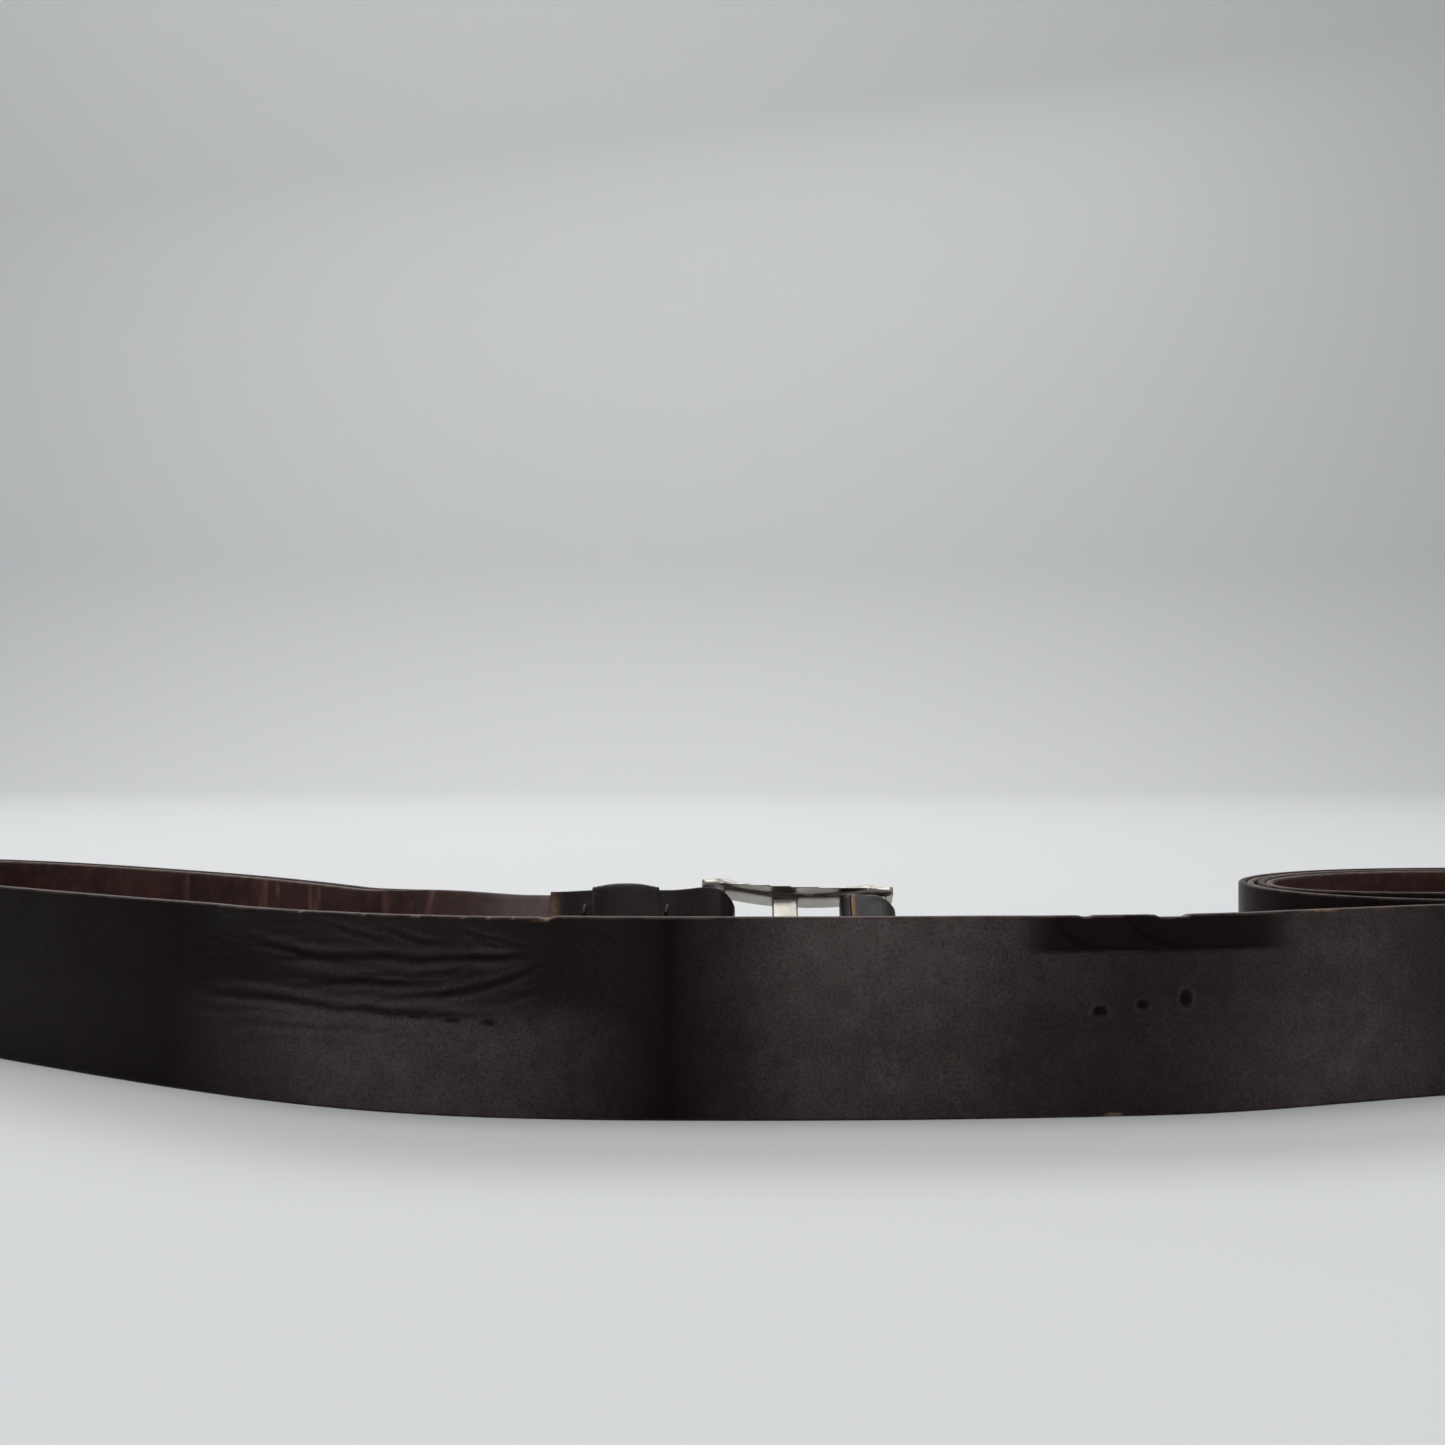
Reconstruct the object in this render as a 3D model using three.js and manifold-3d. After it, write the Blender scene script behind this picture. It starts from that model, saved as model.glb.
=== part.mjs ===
// A man's leather dress belt, standing on its lower edge: the buckle end, a loop, the long
// outer run and a coil that ends in the belt's pointed tip. Millimetres, +Z up, +X along the
// long run, +Y from that run towards the buckle end. The origin is the middle of the footprint.
import * as THREE from "three";
import { mergeVertices } from "three/addons/utils/BufferGeometryUtils.js";
import Module from "manifold-3d";

// Driving dimensions of the strap.
const STRAP_WIDTH = 35;
const GRAIN_THICKNESS = 1.5;
const LINING_THICKNESS = 1.3;
const GAP = 0.3; // free play between two pieces that touch
const STRAP_THICKNESS = GRAIN_THICKNESS + GAP + LINING_THICKNESS;
const LINING_INSET = 0.3; // the lining stops short of the grain leather's edges
const STATION_STEP = 5.5;
const TIP_LENGTH = 24;
const HOLE_COUNT = 5;
const HOLE_PITCH = 25;
const HOLE_RADIUS = 2;
const FIRST_HOLE_FROM_TIP = 85;

// The buckle end leans back, because the buckle is taller than the strap is wide.
const LEAN = THREE.MathUtils.degToRad(36);
const LEAN_STARTS = 80; // along the strap from the heel bar
const LEAN_FULL = 36;

// Driving dimensions of the buckle, in its own frame: X from heel to toe, Y outwards, Z across.
const RAIL_HEIGHT = 2.5;
const RAIL_DEPTH = 5;
const WINDOW_HALF = STRAP_WIDTH / 2 + 0.6;
const FRAME_HALF = WINDOW_HALF + RAIL_HEIGHT;
const HEEL_BAR_RADIUS = 2;
const RAIL_BEVEL = 0.8;
const FRAME_CORNER = { heel: 2.6, toe: 4.5 }; // radii of the frame's outline
const HEEL_END = 2.6; // how far the frame reaches past the heel bar's axis
const CENTRE_BAR_AT = 13.6;
const CENTRE_BAR_WIDTH = 5;
const CENTRE_BAR_DEPTH = 1.8;
const CENTRE_BAR_SUNK = 0.6; // how far it lies behind the rails' middle line
const NECK_RADIUS = 1.3;
const NECK_HALF = 2.7;
const TOE_BAR = { from: 25.8, to: 33.4, depth: 3 };
const ARCH = 2.9; // how far the rails bow outwards between heel and toe
const TOE_OUT = 3; // how far outwards the toe bar lies from the heel bar's axis
const WRAP_THICKNESS = 1.3;
const WRAP_CORNER = 2.6;
const TONGUE = { width: 4, depth: 1.7, tip: 36, eye: 1.1 };

// The turned-back end of the grain leather, the keeper on it and the seams that close it.
const FLAP_LENGTH = 31.8;
const FLAP_THICKNESS = 1.35;
const SKIVED_THICKNESS = 0.5;
const SKIVE_LENGTH = 9;
const FOLD_CORNER = 5.5; // the radius of its outline where it turns round the bar
const FOLD_SPREAD = 9; // where the two sides of the fold start to part for the heel bar
const LINING_STARTS = 12;
const KEEPER = {
  from: 10.8,
  width: 12.9,
  thickness: 1.2,
  clearance: 0.3,
  room: 5.9, // the slack in front of the strap, where the belt's tip passes
  corners: [0.8, 2.8], // inside it, at the back and in front
};
const KEEPER_PLAY = 0.9;
const STAPLE = { length: 7, wire: 0.8 };
const SEAM = { length: 29, width: 0.8, depth: 0.6 };

// The way the strap lies, seen from above: hand-placed points from the heel bar round to the
// coil. The heel bar stands over the first of them.
const ROUTE = [
  [0, 0], [-9, 0], [-18, 0], [-27, 0], [-36, 0], [-45, 1.8], [-54, 7], [-66, 17.4], [-82, 31],
  [-104, 46.8], [-127, 60.2], [-151, 72.6], [-174, 81.6], [-188, 84.6], [-199.5, 79.2],
  [-203.8, 67.5], [-197.5, 55.2], [-183.5, 45.2], [-165.5, 35.8], [-146, 25.2], [-125, 13.6],
  [-104.5, 2.9], [-86.5, -5.6], [-70, -12], [-55.5, -16.2], [-41, -18.9], [-27, -20.3],
  [-13, -21], [1.5, -21.2], [15.5, -21.1], [29.5, -20.8], [43, -20.2], [57, -19.4],
  [71, -18.3], [85.5, -16.7], [99.5, -13.7], [113.5, -9.8], [127.5, -5.9], [141.5, -2.7],
];
// The coil is an oval, tilted like the run that feeds it. Its reach from its centre is given
// at each quarter turn: near, right, far, left, and so on inwards.
const COIL_CENTRE = [154.9, 32.9];
const COIL_TILT = THREE.MathUtils.degToRad(10);
const COIL_REACH = [33.4, 56, 27.5, 44.5, 29.6, 52.2, 23.7, 40.7, 17, 47];
const COIL_LAST_QUARTER = 0.5; // the share of the last quarter turn that the tip covers
const COIL_STEPS = 5; // points in each quarter turn
const MIDDLE = [3.26, 31.7]; // the middle of the footprint, from the heel bar

const wasm = await Module();
wasm.setup();

const leather = (colour, roughness) =>
  new THREE.MeshStandardMaterial({ color: colour, roughness, metalness: 0 });
const metal = (colour, roughness) =>
  new THREE.MeshStandardMaterial({ color: colour, roughness, metalness: 1 });
const satinNickel = metal(0xa8a79f, 0.35);
const steelWire = metal(0x9a9a98, 0.3);
const grainLeather = leather(0x1d1214, 0.45);
const liningLeather = leather(0x4a2018, 0.6);
const wrapLeather = leather(0x17110f, 0.5);
const thread = new THREE.MeshStandardMaterial({ color: 0x241714, roughness: 0.8, metalness: 0 });

function named(name, geometry, material) {
  const mesh = new THREE.Mesh(geometry, material);
  mesh.name = name;
  return mesh;
}

// ---- booleans ----

function solidOf(geometry) {
  const bare = geometry.clone();
  bare.deleteAttribute("normal");
  bare.deleteAttribute("uv");
  const merged = mergeVertices(bare, 1e-4);
  return new wasm.Manifold(
    new wasm.Mesh({
      numProp: 3,
      vertProperties: merged.getAttribute("position").array,
      triVerts: new Uint32Array(merged.index.array),
    }),
  );
}

function geometryOf(solid) {
  const mesh = solid.getMesh();
  const geometry = new THREE.BufferGeometry();
  geometry.setAttribute("position", new THREE.BufferAttribute(mesh.vertProperties, 3));
  geometry.setIndex(new THREE.BufferAttribute(mesh.triVerts, 1));
  return geometry;
}

function join(...geometries) {
  return geometryOf(geometries.map(solidOf).reduce((whole, next) => whole.add(next)));
}

function cut(geometry, ...tools) {
  return geometryOf(tools.map(solidOf).reduce((whole, tool) => whole.subtract(tool), solidOf(geometry)));
}

// ---- the strap's path ----

function coilPoints() {
  const points = [];
  const turned = ([along, across]) => [
    COIL_CENTRE[0] + along * Math.cos(COIL_TILT) - across * Math.sin(COIL_TILT),
    COIL_CENTRE[1] + along * Math.sin(COIL_TILT) + across * Math.cos(COIL_TILT),
  ];
  for (let quarter = 0; quarter + 1 < COIL_REACH.length; quarter++) {
    const last = quarter + 2 === COIL_REACH.length;
    const steps = last ? COIL_STEPS * COIL_LAST_QUARTER : COIL_STEPS;
    const [from, to] = [COIL_REACH[quarter], COIL_REACH[quarter + 1]];
    for (let i = 0; i < steps + (last ? 1 : 0); i++) {
      const angle = ((i / COIL_STEPS) * Math.PI) / 2;
      const turn = ((quarter - 1) * Math.PI) / 2;
      const [a, b] = [from * Math.cos(angle), to * Math.sin(angle)];
      const along = a * Math.cos(turn) - b * Math.sin(turn);
      const across = a * Math.sin(turn) + b * Math.cos(turn);
      points.push(turned([along, across]));
    }
  }
  return points;
}

const path = new THREE.CatmullRomCurve3(
  [...ROUTE, ...coilPoints()].map(([x, y]) => new THREE.Vector3(x, y, 0)),
  false,
  "centripetal",
);
path.arcLengthDivisions = 3000;
const BELT_LENGTH = path.getLength();

// How far the rails bow outwards, at a share of the way from the heel bar to the toe bar.
function bowAt(share) {
  return 4 * ARCH * share * (1 - share) + TOE_OUT * share;
}

// How far an outline with a rounded corner has drawn in, so far from the end.
function roundOff(fromEnd, radius) {
  const share = THREE.MathUtils.clamp(1 - fromEnd / radius, 0, 1);
  return radius * (1 - Math.sqrt(1 - share * share));
}

const smooth = (share) => THREE.MathUtils.smoothstep(share, 0, 1);
const leanAt = (s) => LEAN * smooth((LEAN_STARTS - s) / (LEAN_STARTS - LEAN_FULL));

// Offsets outwards from the middle of the strap's thickness.
const outerFace = STRAP_THICKNESS / 2;
const grainBack = outerFace - GRAIN_THICKNESS;
const liningTop = grainBack - GAP;
const liningBack = -outerFace;
const flapTop = liningBack - GAP;
const flapFace = flapTop - FLAP_THICKNESS;
const barOut = (grainBack + flapTop) / 2; // the heel bar lies midway in the fold

// The lower rail's bowed middle is what the buckle end stands on.
const bowPeak = 0.5 + TOE_OUT / (8 * ARCH);
const lowestOut = barOut + bowAt(bowPeak) + RAIL_DEPTH / 2;
const buckleHeight = FRAME_HALF * Math.cos(LEAN) + lowestOut * Math.sin(LEAN);
const middleHeight = (lean) => THREE.MathUtils.lerp(STRAP_WIDTH / 2, buckleHeight, lean / LEAN);

// Where the strap is at arc length s: a point, its grain-side normal, its lean and its height.
function stationAt(s) {
  const t = s / BELT_LENGTH;
  const centre = path.getPointAt(t);
  const along = path.getTangentAt(t);
  const lean = leanAt(s);
  return { centre, along, out: new THREE.Vector3(along.y, -along.x, 0), lean, height: middleHeight(lean) };
}

// A point of the strap from its place along, outwards and across, measured at a station.
function place(station, along, out, across) {
  const { sin, cos } = Math;
  const sideways = out * cos(station.lean) + across * sin(station.lean);
  const up = station.height - out * sin(station.lean) + across * cos(station.lean);
  return new THREE.Vector3(station.centre.x - MIDDLE[0], station.centre.y - MIDDLE[1], up)
    .addScaledVector(station.along, along)
    .addScaledVector(station.out, sideways);
}

function halfWidthAt(s, inset) {
  const q = Math.max(0, (s - (BELT_LENGTH - TIP_LENGTH)) / TIP_LENGTH);
  const taper = (1 - Math.min(q, 0.985) ** 2.1) ** 0.62;
  return (STRAP_WIDTH / 2) * taper - inset;
}

// A strip of leather: each rib holds its four corners, grain side first.
function strip(ribs) {
  const corners = ribs.flat();
  const position = new Float32Array(corners.flatMap((p) => [p.x, p.y, p.z]));
  const index = [0, 1, 2, 0, 2, 3];
  for (let rib = 0; rib + 1 < ribs.length; rib++) {
    for (let side = 0; side < 4; side++) {
      const [a, b] = [rib * 4 + side, rib * 4 + ((side + 1) % 4)];
      // Both broad faces split along the same diagonal, so that layers nest where they twist.
      const split = side < 2 ? [a, a + 4, b, b, a + 4, b + 4] : [a, a + 4, b + 4, a, b + 4, b];
      index.push(...split);
    }
  }
  const end = (ribs.length - 1) * 4;
  index.push(end, end + 2, end + 1, end, end + 3, end + 2);
  const geometry = new THREE.BufferGeometry();
  geometry.setAttribute("position", new THREE.BufferAttribute(position, 3));
  geometry.setIndex(index);
  return geometry;
}

// The four corners of the strap at a station, between two faces.
function stripRib(station, outer, inner, half) {
  return [
    place(station, 0, outer, -half),
    place(station, 0, outer, half),
    place(station, 0, inner, half),
    place(station, 0, inner, -half),
  ];
}

// Both layers share these places along the strap, so that they stay apart round every bend.
function runStops() {
  const run = BELT_LENGTH - TIP_LENGTH - LINING_STARTS;
  const body = Math.ceil(run / STATION_STEP);
  const tipSteps = 9;
  const stops = [];
  for (let i = 0; i <= body; i++) {
    stops.push(LINING_STARTS + (run * i) / body);
  }
  for (let i = 1; i <= tipSteps; i++) {
    stops.push(BELT_LENGTH - TIP_LENGTH * (1 - Math.sin(((i / tipSteps) * Math.PI) / 2)) - 1e-3);
  }
  return stops;
}

// The fold round the heel bar, as points of its middle line with the leather's thickness there.
function foldLine() {
  const loop = HEEL_BAR_RADIUS + GAP + GRAIN_THICKNESS / 2;
  const line = [];
  for (const back of [FLAP_LENGTH, FLAP_LENGTH - SKIVE_LENGTH, FOLD_SPREAD]) {
    const thickness = back === FLAP_LENGTH ? SKIVED_THICKNESS : FLAP_THICKNESS;
    line.push([-back, flapTop - thickness / 2, thickness]);
  }
  const arcSteps = 10;
  for (let i = 0; i <= arcSteps; i++) {
    const angle = -Math.PI / 2 + (i / arcSteps) * Math.PI;
    line.push([loop * Math.cos(angle), barOut + loop * Math.sin(angle), GRAIN_THICKNESS]);
  }
  line.push([-FOLD_SPREAD, grainBack + GRAIN_THICKNESS / 2, GRAIN_THICKNESS]);
  return line;
}

// Half the fold's width at x: its corners are rounded off towards the buckle.
function foldHalf(x) {
  const end = HEEL_BAR_RADIUS + GAP + GRAIN_THICKNESS;
  return STRAP_WIDTH / 2 - roundOff(end - x, FOLD_CORNER);
}

function foldRibs() {
  const heel = stationAt(0);
  const line = foldLine();
  return line.map(([x, out, thickness], i) => {
    const before = line[Math.max(i - 1, 0)];
    const after = line[Math.min(i + 1, line.length - 1)];
    const heading = new THREE.Vector2(after[0] - before[0], after[1] - before[1]).normalize();
    const side = [(heading.y * thickness) / 2, (-heading.x * thickness) / 2];
    const corner = (sign, across) => place(heel, -(x + sign * side[0]), out + sign * side[1], across);
    const half = foldHalf(x);
    return [corner(1, -half), corner(1, half), corner(-1, half), corner(-1, -half)];
  });
}

// Punches along the strap for the tongue, as tools that go through both layers.
function holePunches() {
  const punches = [];
  for (let i = 0; i < HOLE_COUNT; i++) {
    const station = stationAt(BELT_LENGTH - FIRST_HOLE_FROM_TIP - i * HOLE_PITCH);
    const punch = new THREE.CylinderGeometry(HOLE_RADIUS, HOLE_RADIUS, STRAP_THICKNESS + 2 * GAP, 12);
    const spot = place(station, 0, 0, 0);
    const facing = new THREE.Quaternion().setFromUnitVectors(new THREE.Vector3(0, 1, 0), station.out);
    punches.push(punch.applyQuaternion(facing).translate(spot.x, spot.y, spot.z));
  }
  return punches;
}

function strapPieces() {
  const stops = runStops();
  const run = stops.map((s) => stripRib(stationAt(s), outerFace, grainBack, halfWidthAt(s, 0)));
  const grain = [...foldRibs(), ...run];
  const lining = stops.map((s) =>
    stripRib(stationAt(s), liningTop, liningBack, halfWidthAt(s, LINING_INSET)),
  );
  const punches = holePunches();
  return [
    named("strap_grain_leather", cut(strip(grain), ...punches), grainLeather),
    named("strap_lining", cut(strip(lining), ...punches), liningLeather),
  ];
}

// ---- the buckle ----

const toeBarMiddle = (TOE_BAR.from + TOE_BAR.to) / 2;
const toeEnd = TOE_BAR.to + 1.4;

function archAt(x) {
  return bowAt(THREE.MathUtils.clamp(x / toeBarMiddle, 0, 1));
}

function bowed(geometry) {
  const position = geometry.getAttribute("position");
  for (let i = 0; i < position.count; i++) {
    position.setY(i, position.getY(i) + archAt(position.getX(i)));
  }
  return geometry;
}

// A block in the buckle's frame, cut in slices along X so that it can bow.
function block(x0, x1, y0, y1, z0, z1, slices = 1) {
  const geometry = new THREE.BoxGeometry(x1 - x0, y1 - y0, z1 - z0, slices, 1, 1);
  return geometry.translate((x0 + x1) / 2, (y0 + y1) / 2, (z0 + z1) / 2);
}

// One long side of the frame: a rounded bar that ends in a half round over each bar.
function rail(side) {
  const bevel = RAIL_BEVEL;
  const outline = new THREE.Shape();
  const [low, high] = [WINDOW_HALF + bevel, FRAME_HALF - bevel];
  const [left, right] = [-HEEL_END + bevel, toeEnd - bevel];
  const { heel, toe } = FRAME_CORNER;
  const cornerSteps = 4;
  const drawnIn = (radius, i) => radius * (1 - Math.cos(((i / cornerSteps) * Math.PI) / 2));
  const stops = [];
  for (let i = 0; i < cornerSteps; i++) {
    stops.push(left + drawnIn(heel, i));
  }
  const slices = 10;
  for (let i = 0; i <= slices; i++) {
    stops.push(left + heel + ((right - toe - left - heel) * i) / slices);
  }
  for (let i = cornerSteps - 1; i >= 0; i--) {
    stops.push(right - drawnIn(toe, i));
  }
  const top = (x) => Math.max(high - roundOff(x - left, heel) - roundOff(right - x, toe), low + bevel / 2);
  outline.moveTo(left, low);
  stops.slice(1).forEach((x) => outline.lineTo(x, low));
  stops.reverse().forEach((x) => outline.lineTo(x, top(x)));
  const bar = new THREE.ExtrudeGeometry(outline, {
    depth: RAIL_DEPTH - 2 * bevel,
    bevelThickness: bevel,
    bevelSize: bevel,
    bevelSegments: 2,
  });
  bar.translate(0, 0, bevel - RAIL_DEPTH / 2).rotateX(Math.PI / 2);
  if (side < 0) {
    bar.rotateX(Math.PI);
  }
  return bowed(bar);
}

const centreBarOut = archAt(CENTRE_BAR_AT) - CENTRE_BAR_SUNK;

function buckleFrame() {
  const reach = WINDOW_HALF + RAIL_HEIGHT / 2;
  const heelBar = new THREE.CylinderGeometry(HEEL_BAR_RADIUS, HEEL_BAR_RADIUS, 2 * reach, 16);
  heelBar.rotateX(Math.PI / 2);
  const toeHalf = TOE_BAR.depth / 2;
  const toeBar = block(TOE_BAR.from, TOE_BAR.to, TOE_OUT - toeHalf, TOE_OUT + toeHalf, -reach, reach);
  const half = CENTRE_BAR_WIDTH / 2;
  const deep = CENTRE_BAR_DEPTH / 2;
  const arms = [-1, 1].map((side) => {
    const [low, high] = side > 0 ? [NECK_HALF, reach] : [-reach, -NECK_HALF];
    const [left, right] = [CENTRE_BAR_AT - half, CENTRE_BAR_AT + half];
    return block(left, right, centreBarOut - deep, centreBarOut + deep, low, high);
  });
  const neck = new THREE.CylinderGeometry(NECK_RADIUS, NECK_RADIUS, 2 * NECK_HALF + 1, 16);
  neck.rotateX(Math.PI / 2).translate(CENTRE_BAR_AT, centreBarOut, 0);
  return named("buckle_frame", join(rail(1), rail(-1), heelBar, toeBar, ...arms, neck), satinNickel);
}

// A ring drawn in X and Y and pulled out along Z.
function sleeve(outer, inner, length) {
  outer.holes.push(inner);
  const geometry = new THREE.ExtrudeGeometry(outer, { depth: length, bevelEnabled: false, curveSegments: 6 });
  return geometry.translate(0, 0, -length / 2);
}

// A box whose corners at y0 are rounded by one radius and those at y1 by another.
function roundedBox(Kind, [x0, x1], [y0, y1], [near, far]) {
  const outline = new Kind();
  outline.moveTo(x0 + near, y0);
  outline.absarc(x1 - near, y0 + near, near, -Math.PI / 2, 0);
  outline.absarc(x1 - far, y1 - far, far, 0, Math.PI / 2);
  outline.absarc(x0 + far, y1 - far, far, Math.PI / 2, Math.PI);
  outline.absarc(x0 + near, y0 + near, near, Math.PI, (3 * Math.PI) / 2);
  return outline;
}

function toeBarWrap() {
  const room = GAP;
  const wall = room + WRAP_THICKNESS;
  const deep = TOE_BAR.depth / 2;
  const { from, to } = TOE_BAR;
  const ring = (Kind, margin, corner) =>
    roundedBox(
      Kind,
      [from - margin, to + margin],
      [TOE_OUT - deep - margin, TOE_OUT + deep + margin],
      [corner, corner],
    );
  const outer = ring(THREE.Shape, wall, WRAP_CORNER);
  const inner = ring(THREE.Path, room, room / 2);
  return named("toe_bar_wrap", sleeve(outer, inner, 2 * (WINDOW_HALF - GAP)), wrapLeather);
}

// The tongue, drawn from the side: an eye round the centre bar's neck and a bowed shank whose
// end comes down on the toe bar's wrap.
function buckleTongue() {
  const pin = NECK_RADIUS + GAP;
  const eye = pin + TONGUE.eye;
  const rest = TOE_OUT + TOE_BAR.depth / 2 + GAP + WRAP_THICKNESS + GAP; // the underside, over the wrap
  const [x0, y0] = [CENTRE_BAR_AT, centreBarOut];
  const outline = new THREE.Shape();
  outline.absarc(x0, y0, eye, THREE.MathUtils.degToRad(70), THREE.MathUtils.degToRad(335));
  outline.quadraticCurveTo(x0 + 8, rest - 0.4, TOE_BAR.from, rest);
  outline.lineTo(TOE_BAR.to, rest);
  outline.quadraticCurveTo(TONGUE.tip - 0.6, rest, TONGUE.tip, rest - 0.9);
  outline.quadraticCurveTo(TONGUE.tip + 0.7, rest + 0.6, TOE_BAR.to, rest + TONGUE.depth);
  outline.lineTo(TOE_BAR.from, rest + TONGUE.depth);
  outline.quadraticCurveTo(x0 + 6, rest + TONGUE.depth + 0.4, x0 + 1, y0 + eye);
  outline.closePath();
  const bore = new THREE.Path();
  bore.absarc(x0, y0, pin, 0, 2 * Math.PI, true);
  return named("buckle_tongue", sleeve(outline, bore, TONGUE.width), satinNickel);
}

// ---- the keeper and the seams, in the buckle's frame ----

function keeper() {
  const { clearance, room, thickness } = KEEPER;
  const [back, front] = [flapFace - clearance, outerFace + room];
  const half = STRAP_WIDTH / 2 + clearance;
  const ring = (Kind, wall) => {
    const [wide, corners] = [half + wall, KEEPER.corners.map((radius) => radius + wall)];
    return roundedBox(Kind, [-wide, wide], [back - wall, front + wall], corners);
  };
  const [outer, inner] = [ring(THREE.Shape, thickness), ring(THREE.Path, 0)];
  const middle = -KEEPER.from - KEEPER.width / 2;
  // The drawing's X stands up along Z, and its depth runs along the strap.
  const loop = sleeve(outer, inner, KEEPER.width).rotateY(-Math.PI / 2).translate(middle, 0, 0);
  const [wire, reach] = [STAPLE.wire / 2, STAPLE.length / 2];
  const seat = back - thickness - GAP;
  const crown = block(middle - wire, middle + wire, seat - STAPLE.wire, seat, -reach, reach);
  return [named("keeper_loop", loop, grainLeather), named("keeper_staple", crown, steelWire)];
}

function seams() {
  const places = { heel: KEEPER.from - KEEPER_PLAY, end: KEEPER.from + KEEPER.width + KEEPER_PLAY };
  const faces = {
    inner: [flapFace - GAP - SEAM.depth, flapFace - GAP],
    outer: [outerFace + GAP, outerFace + GAP + SEAM.depth],
  };
  const made = [];
  for (const [spot, back] of Object.entries(places)) {
    const [wide, long] = [SEAM.width / 2, SEAM.length / 2];
    const x = spot === "heel" ? -back + wide : -back - wide;
    for (const [face, [low, high]] of Object.entries(faces)) {
      const run = block(x - wide, x + wide, low, high, -long, long);
      made.push(named(`${spot}_seam_${face}_thread`, run, thread));
    }
  }
  return made;
}

// ---- the assembly ----

// The buckle's frame stands on the strap's first point, leaning back with the strap's end.
const buckleEnd = new THREE.Group();
buckleEnd.position.set(-MIDDLE[0], -MIDDLE[1], buckleHeight);
buckleEnd.rotation.x = -LEAN;
buckleEnd.add(...keeper(), ...seams());

const buckle = new THREE.Group();
buckle.position.set(0, barOut, 0);
buckle.add(buckleFrame(), toeBarWrap(), buckleTongue());
buckleEnd.add(buckle);

const belt = new THREE.Group();
belt.add(...strapPieces(), buckleEnd);
export default belt;
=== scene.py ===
"""A man's leather dress belt, standing on its lower edge, dressed in Blender over its CAD frame.

The sizes below are millimetres, as in the CAD; everything is scaled to metres where a mesh is made.
Along the strap, s is the distance from the heel bar, "out" points to the grain side and
"across" runs up the strap's width from its middle.
"""

import math

import bpy
import numpy as np
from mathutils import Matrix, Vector


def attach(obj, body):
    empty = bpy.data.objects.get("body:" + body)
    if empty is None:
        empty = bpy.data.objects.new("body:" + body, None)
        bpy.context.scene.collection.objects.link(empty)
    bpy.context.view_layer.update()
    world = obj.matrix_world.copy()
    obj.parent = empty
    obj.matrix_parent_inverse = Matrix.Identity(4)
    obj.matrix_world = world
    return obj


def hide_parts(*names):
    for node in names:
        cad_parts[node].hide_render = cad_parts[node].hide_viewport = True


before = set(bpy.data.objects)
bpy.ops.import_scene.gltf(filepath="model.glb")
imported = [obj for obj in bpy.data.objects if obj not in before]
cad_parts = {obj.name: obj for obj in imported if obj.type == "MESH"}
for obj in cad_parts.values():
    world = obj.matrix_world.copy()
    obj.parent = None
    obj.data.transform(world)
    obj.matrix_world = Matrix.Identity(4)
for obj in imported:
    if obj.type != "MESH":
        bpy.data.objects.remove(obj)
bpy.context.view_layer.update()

MM = 0.001
TAU = 2 * math.pi

# The strap, as in the CAD.
STRAP_WIDTH = 35.0
GRAIN_THICKNESS = 1.5
LINING_THICKNESS = 1.3
GAP = 0.3
STRAP_THICKNESS = GRAIN_THICKNESS + GAP + LINING_THICKNESS
TIP_LENGTH = 24.0
HOLE_COUNT = 5
HOLE_PITCH = 25.0
HOLE_RADIUS = 2.0
HOLE_SIDES = 28
FIRST_HOLE_FROM_TIP = 85.0
LEAN = math.radians(36)
LEAN_STARTS = 80.0
LEAN_FULL = 36.0
LINING_STARTS = 12.0
LINING_INSET = 0.15 # how far the lining's edges stop short of the grain leather's
GLUE_FILL = 0.2 # how much of the gap between the layers the lining's glued face takes up

# The buckle end, as in the CAD: X from heel to toe, Y outwards, Z across.
HALF_WINDOW = STRAP_WIDTH / 2 + 0.6
HALF_FRAME = HALF_WINDOW + 2.5
HEEL_BAR_RADIUS = 2.0
TOE_BAR_FROM, TOE_BAR_TO, TOE_BAR_DEPTH = 25.8, 33.4, 3.0
ARCH, TOE_OUT = 2.9, 3.0
RAIL_DEPTH = 5.0
WRAP_THICKNESS = 1.3
FLAP_LENGTH = 31.8
FLAP_THICKNESS = 1.35
SKIVED_THICKNESS = 0.5
SKIVE_LENGTH = 9.0
FOLD_SPREAD = 9.0
FOLD_CORNER = 5.5
KEEPER_FROM, KEEPER_WIDTH, KEEPER_THICKNESS = 10.8, 12.9, 1.2
KEEPER_CLEARANCE, KEEPER_ROOM, KEEPER_CORNERS = 0.3, 5.9, (0.8, 2.8)
SEAM_LENGTH = 29.0
SEAM_BESIDE_KEEPER = 1.3
HEEL_SEAM_CLEAR = 0.25 # the heel seam's extra distance, clear of the sliding keeper
STAPLE_LENGTH, STAPLE_WIRE = 7.0, 0.8

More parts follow.
